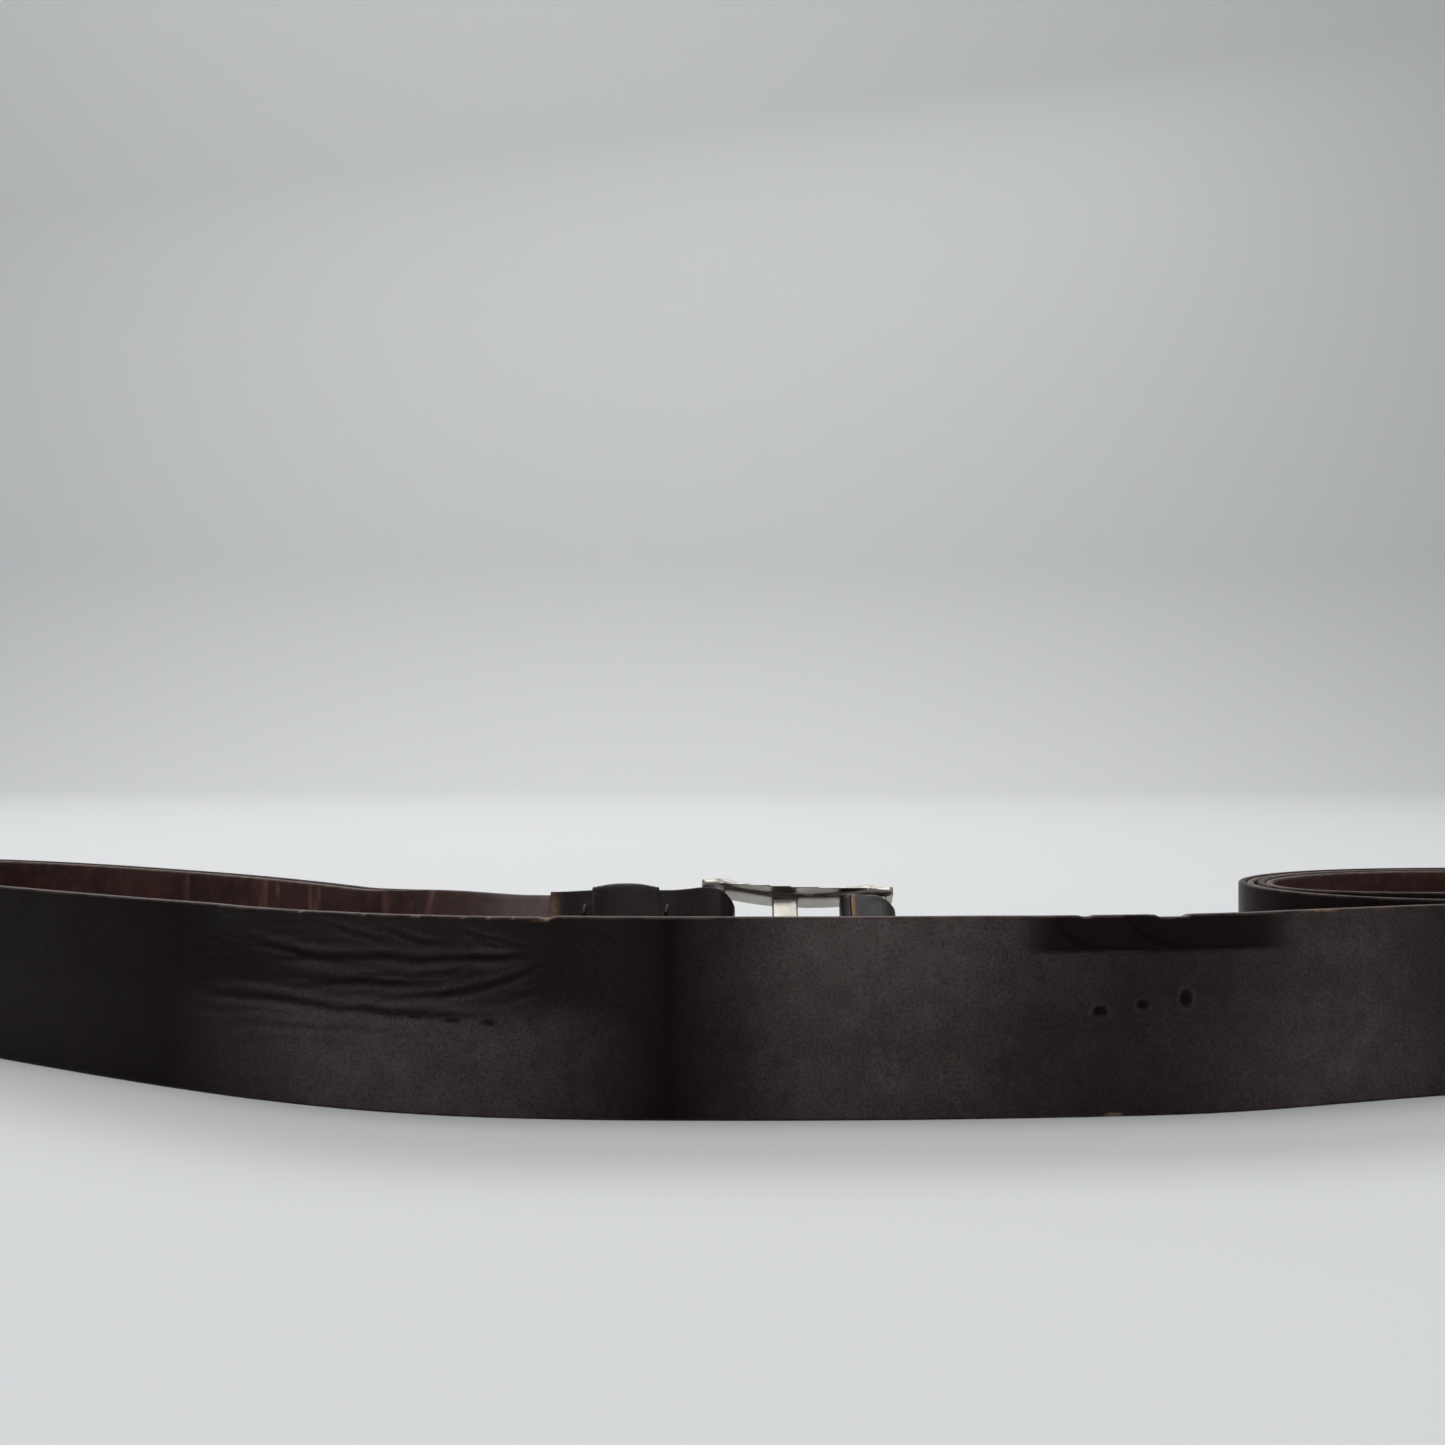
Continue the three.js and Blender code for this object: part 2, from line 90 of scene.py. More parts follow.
# The way the strap lies, seen from above, as in the CAD.
ROUTE = [
    (0, 0), (-9, 0), (-18, 0), (-27, 0), (-36, 0), (-45, 1.8), (-54, 7), (-66, 17.4), (-82, 31),
    (-104, 46.8), (-127, 60.2), (-151, 72.6), (-174, 81.6), (-188, 84.6), (-199.5, 79.2),
    (-203.8, 67.5), (-197.5, 55.2), (-183.5, 45.2), (-165.5, 35.8), (-146, 25.2), (-125, 13.6),
    (-104.5, 2.9), (-86.5, -5.6), (-70, -12), (-55.5, -16.2), (-41, -18.9), (-27, -20.3),
    (-13, -21), (1.5, -21.2), (15.5, -21.1), (29.5, -20.8), (43, -20.2), (57, -19.4),
    (71, -18.3), (85.5, -16.7), (99.5, -13.7), (113.5, -9.8), (127.5, -5.9), (141.5, -2.7),
]
COIL_CENTRE = (154.9, 32.9)
COIL_TILT = math.radians(10)
COIL_REACH = [33.4, 56, 27.5, 44.5, 29.6, 52.2, 23.7, 40.7, 17, 47]
COIL_LAST_QUARTER = 0.5
COIL_STEPS = 5
MIDDLE = np.array([3.26, 31.7])

CAMERA_AT = (-1.865, -302.7, 68.5)
CAMERA_LENS = 36.0

# ---- small tools ----

LATTICE = np.random.default_rng(11).uniform(-1, 1, (256, 256))


def smooth(share):
    t = np.clip(share, 0, 1)
    return t * t * (3 - 2 * t)


def between(x, start, end, fade):
    """1 from start to end, fading to 0 outside over the given length."""
    return smooth((x - start) / fade + 1) * smooth((end - x) / fade + 1)


def round_off(from_end, radius):
    """How far an outline with a rounded corner has drawn in, so far from its end."""
    share = np.clip(1 - from_end / radius, 0, 1)
    return radius * (1 - np.sqrt(1 - share**2))


def ripple(x, y, layer=0):
    """Smooth value noise from -1 to 1, one cell to each unit."""
    x, y = np.asarray(x, float) + 37.0 * layer, np.asarray(y, float) + 91.0 * layer
    column, row = np.floor(x).astype(int), np.floor(y).astype(int)
    u, v = smooth(x - column), smooth(y - row)

    def at(i, j):
        return LATTICE[(column + i) % len(LATTICE), (row + j) % len(LATTICE)]

    low = at(0, 0) * (1 - u) + at(1, 0) * u
    high = at(0, 1) * (1 - u) + at(1, 1) * u
    return low * (1 - v) + high * v


# ---- the strap's path ----


def coil_points():
    points = []
    cos, sin = math.cos(COIL_TILT), math.sin(COIL_TILT)
    for quarter in range(len(COIL_REACH) - 1):
        last = quarter == len(COIL_REACH) - 2
        steps = int(COIL_STEPS * COIL_LAST_QUARTER) + 2 if last else COIL_STEPS
        for i in range(steps):
            angle = i / COIL_STEPS * math.pi / 2
            turn = (quarter - 1) * math.pi / 2
            a = COIL_REACH[quarter] * math.cos(angle)
            b = COIL_REACH[quarter + 1] * math.sin(angle)
            along = a * math.cos(turn) - b * math.sin(turn)
            across = a * math.sin(turn) + b * math.cos(turn)
            points.append(
                (COIL_CENTRE[0] + along * cos - across * sin, COIL_CENTRE[1] + along * sin + across * cos)
            )
    return points


def centripetal(points, steps=40):
    """The centripetal Catmull-Rom curve through the points, as a fine polyline."""
    p = np.array(points, float)
    p = np.vstack([2 * p[0] - p[1], p, 2 * p[-1] - p[-2]])
    gap = np.sqrt(np.linalg.norm(np.diff(p, axis=0), axis=1))
    curve = []
    for i in range(1, len(p) - 2):
        a, b, c = gap[i - 1], gap[i], gap[i + 1]
        start = ((p[i] - p[i - 1]) / a - (p[i + 1] - p[i - 1]) / (a + b) + (p[i + 1] - p[i]) / b) * b
        end = ((p[i + 1] - p[i]) / b - (p[i + 2] - p[i]) / (b + c) + (p[i + 2] - p[i + 1]) / c) * b
        for t in np.arange(steps) / steps:
            bend = (2 * t**3 - 3 * t**2 + 1) * p[i] + (t**3 - 2 * t**2 + t) * start
            curve.append(bend + (3 * t**2 - 2 * t**3) * p[i + 1] + (t**3 - t**2) * end)
    curve.append(p[-2])
    return np.array(curve)


def evened(line, step, blur):
    """The polyline at equal steps, with its corners eased over the blur length."""
    run = np.concatenate([[0], np.cumsum(np.linalg.norm(np.diff(line, axis=0), axis=1))])
    s = np.linspace(0, run[-1], int(run[-1] / step) + 1)
    even = np.column_stack([np.interp(s, run, line[:, k]) for k in range(2)])
    reach = int(3 * blur / step)
    kernel = np.exp(-0.5 * (np.arange(-reach, reach + 1) * step / blur) ** 2)
    kernel /= kernel.sum()
    before = 2 * even[0] - even[reach:0:-1]
    after = 2 * even[-1] - even[-2 : -reach - 2 : -1]
    padded = np.vstack([before, even, after])
    return s, np.column_stack([np.convolve(padded[:, k], kernel, "valid") for k in range(2)])


PATH_S, PATH = evened(centripetal(ROUTE + coil_points()), step=0.5, blur=2.5)
BELT_LENGTH = PATH_S[-1]
HEADING = np.gradient(PATH, PATH_S, axis=0)
HEADING /= np.linalg.norm(HEADING, axis=1)[:, None]

LOOP_END = PATH_S[np.argmin(PATH[:, 0])]
COIL_START = PATH_S[np.argmin(np.linalg.norm(PATH - np.array(ROUTE[-1]), axis=1))]

# Offsets outwards from the middle of the strap's thickness.
OUTER_FACE = STRAP_THICKNESS / 2
GRAIN_BACK = OUTER_FACE - GRAIN_THICKNESS
LINING_TOP = GRAIN_BACK - GAP
LINING_BACK = -OUTER_FACE
FLAP_TOP = LINING_BACK - GAP
FLAP_FACE = FLAP_TOP - FLAP_THICKNESS
BAR_OUT = (GRAIN_BACK + FLAP_TOP) / 2
BOW_PEAK = 0.5 + TOE_OUT / (8 * ARCH)
LOWEST_OUT = BAR_OUT + 4 * ARCH * BOW_PEAK * (1 - BOW_PEAK) + TOE_OUT * BOW_PEAK + RAIL_DEPTH / 2
BUCKLE_HEIGHT = HALF_FRAME * math.cos(LEAN) + LOWEST_OUT * math.sin(LEAN)


class Track:
    """Where a band of leather runs: its middle line, its outward normal and its across direction."""

    def __init__(self, centre, out, across, s):
        self.centre, self.out, self.across, self.s = centre, out, across, s

    def joined(self, other):
        pairs = ((getattr(self, k), getattr(other, k)) for k in ("centre", "out", "across", "s"))
        return Track(*(np.concatenate(pair) for pair in pairs))


def strap_track(s):
    centre = np.column_stack([np.interp(s, PATH_S, PATH[:, k]) for k in range(2)]) - MIDDLE
    along = np.column_stack([np.interp(s, PATH_S, HEADING[:, k]) for k in range(2)])
    along /= np.linalg.norm(along, axis=1)[:, None]
    flat_out = np.column_stack([along[:, 1], -along[:, 0], np.zeros(len(s))])
    lean = LEAN * smooth((LEAN_STARTS - s) / (LEAN_STARTS - LEAN_FULL))
    height = STRAP_WIDTH / 2 + (BUCKLE_HEIGHT - STRAP_WIDTH / 2) * lean / LEAN
    up = np.array([0, 0, 1.0])
    sin, cos = np.sin(lean)[:, None], np.cos(lean)[:, None]
    middle = np.column_stack([centre, height])
    return Track(middle, flat_out * cos - up * sin, flat_out * sin + up * cos, s)


END_X = np.array([1.0, 0, 0])
END_OUT = np.array([0, math.cos(LEAN), -math.sin(LEAN)])
END_ACROSS = np.array([0, math.sin(LEAN), math.cos(LEAN)])
END_ORIGIN = np.array([-MIDDLE[0], -MIDDLE[1], BUCKLE_HEIGHT])


def at_end(x, out, across):
    """Points of the buckle end, from their places along, outwards and across."""
    x, out, across = np.broadcast_arrays(x, out, across)
    return END_ORIGIN + x[..., None] * END_X + out[..., None] * END_OUT + across[..., None] * END_ACROSS


def flat_track(line, s=None):
    """A track at the buckle end whose middle line is drawn in X and out."""
    line = np.array(line, float)
    ahead = np.vstack([line[1:], 2 * line[-1] - line[-2]])
    behind = np.vstack([2 * line[0] - line[1], line[:-1]])
    heading = ahead - behind
    heading /= np.linalg.norm(heading, axis=1)[:, None]
    out = heading[:, 1:] * END_X - heading[:, :1] * END_OUT
    across = np.tile(END_ACROSS, (len(line), 1))
    places = np.arange(len(line)) if s is None else s
    return Track(at_end(line[:, 0], line[:, 1], 0.0), out, across, places)


# ---- meshes ----


def new_piece(name, points, faces, marks=None):
    mesh = bpy.data.meshes.new(name)
    mesh.from_pydata((np.asarray(points) * MM).tolist(), [], faces)
    for mark, values in (marks or {}).items():
        layer = mesh.attributes.new(mark, "FLOAT", "POINT")
        layer.data.foreach_set("value", np.asarray(values, np.float32).ravel())
    mesh.validate()
    mesh.shade_smooth()
    piece = bpy.data.objects.new(name, mesh)
    bpy.context.scene.collection.objects.link(piece)
    return piece


def ring_faces(count, around, closed, start=0):
    """Quads between rings of points, with a cap on each end of an open run."""
    faces = []
    for i in range(count if closed else count - 1):
        here, there = start + i * around, start + ((i + 1) % count) * around
        for j in range(around):
            k = (j + 1) % around
            faces.append((here + j, here + k, there + k, there + j))
    if not closed:
        faces.append(tuple(range(start + around - 1, start - 1, -1)))
        faces.append(tuple(range(start + (count - 1) * around, start + count * around)))
    return faces


def band(name, track, outer, inner, half, face_points, back_points, round_by=0.45,
         relief=None, warp=None, marks=None, closed=False):
    """A band of leather along a track, its long edges rounded.

    outer, inner and half are its faces' offsets and half its width, one value or one to a ring.
    relief(s, across) shapes the outer face only, and warp(s, across) moves the whole thickness.
    """
    count = len(track.s)
    outer, inner, half = (np.broadcast_to(v, count)[:, None] * 1.0 for v in (outer, inner, half))
    edge = np.minimum(round_by, (outer - inner) / 2.2)
    quarter = np.linspace(0, math.pi / 2, 5)[1:-1]
    face = np.linspace(-1, 1, face_points)
    back = np.linspace(1, -1, back_points)
    wide = half - edge
    sides = [
        (outer + 0 * face, wide * face, 1 + 0 * face),
        (outer - edge + edge * np.cos(quarter), wide + edge * np.sin(quarter), 0.8 + 0 * quarter),
        (inner + edge - edge * np.sin(quarter), wide + edge * np.cos(quarter), 0.1 + 0 * quarter),
        (inner + 0 * back, wide * back, 0 * back),
        (inner + edge - edge * np.cos(quarter), -wide - edge * np.sin(quarter), 0.1 + 0 * quarter),
        (outer - edge + edge * np.sin(quarter), -wide - edge * np.cos(quarter), 0.8 + 0 * quarter),
    ]
    o = np.hstack([side[0] for side in sides])
    w = np.hstack([side[1] for side in sides])
    cover = np.concatenate([side[2] for side in sides])[None, :]
    s = np.broadcast_to(track.s[:, None], w.shape)
    if relief is not None:
        o = o + relief(s, w) * cover
    if warp is not None:
        o = o + warp(s, w)
    points = track.centre[:, None, :] + o[..., None] * track.out[:, None, :]
    points = points + w[..., None] * track.across[:, None, :]
    on_edge = np.broadcast_to((cover > 0) & (cover < 1), w.shape).astype(float)
    layers = {"edge": on_edge, "across": w}
    for mark, paint in (marks or {}).items():
        layers[mark] = paint(s, w)
    faces = ring_faces(count, w.shape[1], closed)
    return new_piece(name, points.reshape(-1, 3), faces, layers)


def tubes(name, lines, radius, around=8):
    """Round threads or wires along several lines, as one piece, each tapering to blunt ends."""
    points, faces = [], []
    for line in lines:
        line = np.array(line, float)
        heading = np.gradient(line, axis=0)
        heading /= np.linalg.norm(heading, axis=1)[:, None]
        side = np.cross(heading, END_ACROSS + 0.31 * END_X)
        side /= np.linalg.norm(side, axis=1)[:, None]
        other = np.cross(heading, side)
        share = np.linspace(-1, 1, len(line))
        size = radius * np.sqrt(np.clip(1 - share**8, 0.12, 1))
        angle = np.arange(around) / around * TAU
        ring = np.cos(angle)[None, :, None] * side[:, None, :]
        ring = ring + np.sin(angle)[None, :, None] * other[:, None, :]
        faces += ring_faces(len(line), around, False, start=len(points) * around)
        points += list(line[:, None, :] + size[:, None, None] * ring)
    return new_piece(name, np.array(points).reshape(-1, 3), faces)


def solidified(piece):
    """Applies the piece's modifiers to its mesh."""
    settled = piece.evaluated_get(bpy.context.evaluated_depsgraph_get())
    piece.data = bpy.data.meshes.new_from_object(settled)
    piece.modifiers.clear()
    piece.data.shade_smooth()
    return piece


# ---- the look of the long outer run ----

# Folds pressed into the outer run, each from (x, across) to (x, across), with how far it
# bows, how wide it is and how deep.
FOLDS = [
    (-87, 12.4, -58, 10.3, -1.6, 0.6, 0.42),
    (-62, 10.2, -35.5, 11.2, -0.6, 0.55, 0.42),
    (-84, 8.8, -62, 8.4, 0.5, 0.5, 0.20),
    (-81, 6.4, -50, 5.8, -0.7, 0.6, 0.26),
    (-66, 6.9, -45, 8.6, -0.7, 0.45, 0.20),
    (-79, 3.2, -57, 5.4, 0.8, 0.5, 0.22),
    (-62, 2.6, -36, 7.8, -1.0, 0.5, 0.24),
    (-52, 3.4, -33, 9.6, -1.3, 0.5, 0.24),
    (-47, 1.8, -33, 5.6, -0.9, 0.5, 0.16),
    (-96, 1.8, -41, 0.0, -0.4, 0.75, 0.42),
    (-100, -1.0, -60, -1.7, 0.3, 0.7, 0.20),
    (-92, -3.3, -55, -3.7, 0.3, 0.8, 0.22),
    (-88, -5.8, -62, -5.2, 0.2, 0.8, 0.12),
    (-47, 15.0, -36, 13.0, -0.5, 0.4, 0.30),
    (-45, 13.4, -35.5, 12.1, -0.4, 0.4, 0.26),
    (-72, 14.8, -60, 12.6, 0.6, 0.5, 0.22),
    (-60, 15.2, -50, 12.4, -0.7, 0.5, 0.22),
]
# Small dents in a row on the fold, and three deeper ones on the right: x, across, radius
# along, radius across, depth.
DENTS = [
    (-55.3, -0.4, 1.3, 0.5, 0.35),
    (-48.7, -0.8, 1.3, 0.45, 0.35),
    (-42.3, -1.0, 1.4, 0.5, 0.4),
    (63.6, 0.8, 1.15, 0.85, 0.75),
    (71.2, 1.9, 0.9, 0.8, 0.7),
    (78.9, 2.8, 0.9, 1.35, 0.8),
]
# Scoops under the upper edge: where each starts and ends, and how deep it is.
SCOOPS = [(47, 62, 0.35), (55.5, 76, 0.85), (67.5, 100, 0.8)]
SCOOP_LINE = 10.7 # how far above the middle their lower line runs
CURL_FROM, CURL_TO, CURL_LINE, CURL = -100.0, -32.6, 10.4, 1.7
RUN_PAST_COIL_START = 40.0 # how far the worn run goes on round the coil
OFF_THE_RUN = 1e4 # the X given to every place that isn't on the outer run
RIDGE_HIGHLIGHT_GAIN, CREASE_SHADE_GAIN = 5, 4 # how fast the painted highlight on ridges and the painted shade in creases grow, per mm up or down


def x_on_run(s):
    """The place along X of a point of the outer run, far off the belt for the rest of it."""
    x = np.interp(s, PATH_S, PATH[:, 0] - MIDDLE[0])
    return np.where((s > LOOP_END) & (s < COIL_START + RUN_PAST_COIL_START), x, OFF_THE_RUN)


def fold_depth(x, w, x0, w0, x1, w1, bow, width, depth):
    """One fold of the FOLDS list: a groove with a raised shoulder on each side."""
    length = math.hypot(x1 - x0, w1 - w0)
    along = ((x - x0) * (x1 - x0) + (w - w0) * (w1 - w0)) / length**2
    aside = ((w - w0) * (x1 - x0) - (x - x0) * (w1 - w0)) / length
    t = np.clip(along, 0, 1)
    wander = 0.35 * ripple(x / 5.0, w0) + 0.12 * ripple(x / 1.7, w0, 1)
    aside = aside - 4 * bow * t * (1 - t) - wander
    strength = np.sqrt(np.sin(math.pi * t)) * (0.75 + 0.35 * ripple(x / 7.0, w0, 2))
    groove = np.exp(-((aside / width) ** 2))
    shoulder = np.exp(-(((np.abs(aside) - 2.1 * width) / (1.2 * width)) ** 2))
    return depth * strength * (0.5 * shoulder - groove) * ((along > 0) & (along < 1))


def dent_depth(x, w, x0, w0, along, across, depth):
    """One dent of the DENTS list: a pit with a low rim."""
    away = ((x - x0) / along) ** 2 + ((w - w0) / across) ** 2
    rim = np.exp(-((np.sqrt(away) - 1.45) ** 2) / 0.12)
    return depth * (0.18 * rim - np.exp(-(away**1.7)))


def scoop_depth(x, w, start, end, depth):
    """One scoop of the SCOOPS list: it starts as an arc from the edge and runs out flat."""
    share = np.clip((x - start) / (end - start), 0, 1)
    arc = np.sqrt(np.clip(1 - (share / 0.55 - 1) ** 2, 0, 1))
    low = STRAP_WIDTH / 2 + 1 - (STRAP_WIDTH / 2 + 1 - SCOOP_LINE) * np.where(share < 0.55, arc, 1)
    above = w - low
    inside = smooth(above / 0.7) * (1 - 0.75 * smooth(above / 6.5)) * smooth((1 - share) / 0.45)
    ridge = np.exp(-((above / 0.35) ** 2)) * smooth(share / 0.1) * smooth((1 - share) / 0.4)
    within = (x > start) & (x < end)
    return depth * (0.22 * ridge - inside) * within


def run_relief(s, w):
    """The outer face's wear and scoops, and a slight unevenness all the way round."""
    x = x_on_run(s)
    depth = run_wear(s, w) + 0.05 * ripple(s / 9, w / 7) + 0.018 * ripple(s / 2.3, w / 2.1, 3)
    for scoop in SCOOPS:
        depth = depth + scoop_depth(x, w, *scoop)
    return depth


def run_wear(s, w):
    """The wrinkles and dents of the outer run."""
    x = x_on_run(s)
    depth = np.zeros(np.broadcast(x, w).shape)
    for fold in FOLDS:
        depth = depth + fold_depth(x, w, *fold)
    for dent in DENTS:
        depth = depth + dent_depth(x, w, *dent)
    # Fine compression wrinkles in the folded stretch, lying along the strap.
    creased = between(x, -90, -40, 12) * between(w, -3, 15, 4)
    wave = np.sin(TAU * (w + 1.6 * ripple(x / 8, w / 4, 4)) / 1.7)
    depth = depth + 0.035 * creased * wave * (0.6 + 0.6 * ripple(x / 6, w / 2, 5))
    # Short upright creases in the middle of the run.
    upright = between(x, -28, 4, 8) * (0.4 + 0.6 * smooth((17 - w) / 20))
    lines = 1 - np.abs(ripple((x + 0.5 * ripple(w / 3, x / 9, 6)) / 0.75, w / 3.2, 7))
    return depth - 0.055 * upright * lines**5


def run_warp(s, w):
    """Moves the strap's whole thickness: its upper edge curls outwards in two places."""
    x = x_on_run(s)
    window = smooth((x - CURL_FROM) / 18) * smooth((CURL_TO - x) / 1.8)
    curl = CURL * window * smooth((w - CURL_LINE) / 8) * (1 + 0.15 * ripple(x / 6, 0))
    lip = 0.5 * between(x, 54, 90, 10) * smooth((w - 13) / 5)
    return np.where(x < OFF_THE_RUN, curl + lip, 0)


def top_edge_wear(s):
    """How much lower the upper edge is, where it is nicked or worn."""
    x = x_on_run(s)
    worn = 0.45 * between(x, 74.5, 79, 1.2) + 0.25 * between(x, 60.6, 62, 0.6)
    return worn + 0.35 * smooth(x + 34) * smooth(-31 - x)


# ---- materials ----


class Nodes:
    """A short way to write a node material."""

    def __init__(self, name):
        self.material = bpy.data.materials.new(name)
        self.material.use_nodes = True
        self.tree = self.material.node_tree
        self.shader = self.tree.nodes["Principled BSDF"]
        self.where = self.add("ShaderNodeTexCoord").outputs["Object"]

    def add(self, kind, **settings):
        node = self.tree.nodes.new(kind)
        for key, value in settings.items():
            setattr(node, key, value)
        return node

    def join(self, source, target):
        if isinstance(source, (int, float, tuple)):
            target.default_value = source
        else:
            self.tree.links.new(source, target)

    def noise(self, scale, detail=3.0, roughness=0.55, stretch=None):
        node = self.add("ShaderNodeTexNoise")
        node.inputs["Scale"].default_value = scale
        node.inputs["Detail"].default_value = detail
        node.inputs["Roughness"].default_value = roughness
        where = self.where
        if stretch is not None:
            mapping = self.add("ShaderNodeMapping")
            mapping.inputs["Scale"].default_value = stretch
            self.join(self.where, mapping.inputs["Vector"])
            where = mapping.outputs["Vector"]
        self.join(where, node.inputs["Vector"])
        return node.outputs["Fac"]

    def cells(self, scale):
        node = self.add("ShaderNodeTexVoronoi", feature="DISTANCE_TO_EDGE")
        node.inputs["Scale"].default_value = scale
        self.join(self.where, node.inputs["Vector"])
        return node.outputs["Distance"]

    def mark(self, name):
        return self.add("ShaderNodeAttribute", attribute_name=name).outputs["Fac"]

    def scaled(self, value, low, high, to_low=0.0, to_high=1.0):
        node = self.add("ShaderNodeMapRange")
        ends = {"From Min": low, "From Max": high, "To Min": to_low, "To Max": to_high}
        for key, number in ends.items():
            node.inputs[key].default_value = number
        self.join(value, node.inputs["Value"])
        return node.outputs["Result"]

    def math(self, operation, a, b):
        node = self.add("ShaderNodeMath", operation=operation)
        self.join(a, node.inputs[0])
        self.join(b, node.inputs[1])
        return node.outputs[0]

    def mix(self, share, a, b):
        node = self.add("ShaderNodeMix", data_type="RGBA")
        self.join(share, node.inputs["Factor"])
        self.join(a, node.inputs["A"])
        self.join(b, node.inputs["B"])
        return node.outputs["Result"]

    def bump(self, heights):
        """Stacks bumps: each is a height, its strength and its depth in millimetres."""
        normal = None
        for height, strength, depth in heights:
            node = self.add("ShaderNodeBump")
            node.inputs["Strength"].default_value = strength
            node.inputs["Distance"].default_value = depth * MM
            self.join(height, node.inputs["Height"])
            if normal is not None:
                self.join(normal, node.inputs["Normal"])
            normal = node.outputs["Normal"]
        self.join(normal, self.shader.inputs["Normal"])

    def set(self, **sockets):
        for key, value in sockets.items():
            self.join(value, self.shader.inputs[key.replace("_", " ")])


def rgb(red, green, blue):
    """A colour from its sRGB values out of 255."""
    shares = (value / 255 for value in (red, green, blue))
    linear = [c / 12.92 if c <= 0.04045 else ((c + 0.055) / 1.055) ** 2.4 for c in shares]
    return (*linear, 1.0)


def grain_leather(name):
    n = Nodes(name)
    broad = n.noise(14, 2)
    fine = n.noise(260, 3)
    painted_sheen = n.mark("painted_sheen")
    dark = n.mix(n.scaled(broad, 0.35, 0.65), rgb(15, 3, 6), rgb(23, 8, 11))
    # Painted sheen: where the sheen mark is high, the dark leather is lightened towards this pale grey, a
    # painted reflection.
    painted_sheen_colour = n.mix(n.scaled(fine, 0.3, 0.7), rgb(90, 80, 79), rgb(104, 92, 91))
    face = n.mix(painted_sheen, dark, painted_sheen_colour)
    # Painted highlight on the ridges of the wrinkles and painted shade in their creases.
    face = n.mix(n.math("MULTIPLY", n.mark("ridge"), 0.42), face, rgb(92, 84, 83))
    face = n.mix(n.math("MULTIPLY", n.mark("crease_shade"), 0.7), face, rgb(5, 2, 3))
    # The grain is darker between its pebbles, where the pebble noise is low.
    pebbles = n.noise(2100, 3, 0.6)
    face = n.mix(n.scaled(pebbles, 0.34, 0.62, 0.45, 0), face, rgb(8, 2, 4))
    worn = n.mix(n.scaled(fine, 0.4, 0.62), rgb(38, 30, 28), rgb(74, 62, 55))
    face = n.mix(n.math("MULTIPLY", n.mark("edge"), 0.7), face, worn)
    tan = n.mix(n.scaled(fine, 0.35, 0.65), rgb(84, 56, 42), rgb(146, 120, 100))
    face = n.mix(n.mark("raw"), face, tan)
    rough = n.scaled(n.math("ADD", n.scaled(fine, 0, 1, -0.12, 0.12), painted_sheen), 0, 1, 0.36, 0.44)
    n.set(Base_Color=face, Roughness=rough, Specular_IOR_Level=0.07)
    n.bump([(n.cells(950), 0.35, 0.09), (n.noise(2600, 2), 0.3, 0.05), (n.noise(420, 4), 0.3, 0.12)])
    return n.material


def lining_leather(name):
    n = Nodes(name)
    mottle = n.noise(55, 5, 0.65)
    fine = n.noise(420, 4)
    face = n.mix(n.scaled(mottle, 0.35, 0.65), rgb(40, 18, 16), rgb(76, 40, 34))
    face = n.mix(n.scaled(fine, 0.5, 0.75, 0, 0.35), face, rgb(112, 68, 56))
    face = n.mix(n.math("MULTIPLY", n.mark("crack"), 0.8), face, rgb(150, 104, 88))
    edge = n.mix(n.scaled(fine, 0.35, 0.6), rgb(48, 36, 32), rgb(98, 74, 60))
    face = n.mix(n.math("MULTIPLY", n.mark("edge"), 0.85), face, edge)
    n.set(Base_Color=face, Roughness=n.scaled(mottle, 0.3, 0.7, 0.42, 0.6))
    n.bump([(n.cells(1400), 0.25, 0.06), (n.noise(900, 4), 0.35, 0.08)])
    return n.material


def wrap_leather(name):
    n = Nodes(name)
    fine = n.noise(500, 4)
    face = n.mix(n.scaled(fine, 0.35, 0.7), rgb(20, 14, 13), rgb(40, 30, 27))
    raw = n.mix(n.scaled(fine, 0.35, 0.65), rgb(132, 92, 62), rgb(186, 150, 112))
    face = n.mix(n.mark("raw"), face, raw)
    face = n.mix(n.math("MULTIPLY", n.mark("edge"), 0.5), face, rgb(92, 72, 60))
    n.set(Base_Color=face, Roughness=n.scaled(fine, 0.3, 0.7, 0.4, 0.55))
    n.bump([(n.cells(1100), 0.35, 0.08), (n.noise(2200, 2), 0.25, 0.05)])
    return n.material


def satin_metal(name, colour, roughness):
    n = Nodes(name)
    wear = n.noise(90, 5, 0.6)
    brushed = n.noise(900, 2, 0.5, stretch=(0.06, 1, 1))
    tone = n.mix(n.scaled(wear, 0.4, 0.7), colour, tuple(c * 0.72 for c in colour[:3]) + (1.0,))
    rough = n.scaled(wear, 0.3, 0.7, roughness - 0.06, roughness + 0.1)
    n.set(Base_Color=tone, Metallic=1.0, Roughness=rough)
    n.bump([(brushed, 0.12, 0.03), (n.noise(1800, 2), 0.06, 0.02)])
    return n.material


def waxed_thread(name):
    n = Nodes(name)
    twist = n.add("ShaderNodeTexWave", bands_direction="DIAGONAL")
    twist.inputs["Scale"].default_value = 700
    twist.inputs["Distortion"].default_value = 2.0
    n.join(n.where, twist.inputs["Vector"])
    tone = n.mix(twist.outputs["Fac"], rgb(40, 26, 22), rgb(78, 54, 44))
    n.set(Base_Color=tone, Roughness=0.62)
    n.bump([(twist.outputs["Fac"], 0.5, 0.1)])
    return n.material


GRAIN = grain_leather("belt_grain_leather")
LINING = lining_leather("belt_lining_leather")
WRAP = wrap_leather("toe_bar_leather")
NICKEL = satin_metal("satin_nickel", rgb(176, 173, 164), 0.3)
WIRE = satin_metal("drawn_wire", rgb(160, 158, 154), 0.34)
THREAD = waxed_thread("waxed_thread")


def finish_piece(piece, material, slot, body, *nodes):
    piece.data.materials.clear()
    piece.data.materials.append(material)
    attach(piece, body)
    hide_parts(*nodes)
    return piece


# ---- the strap ----


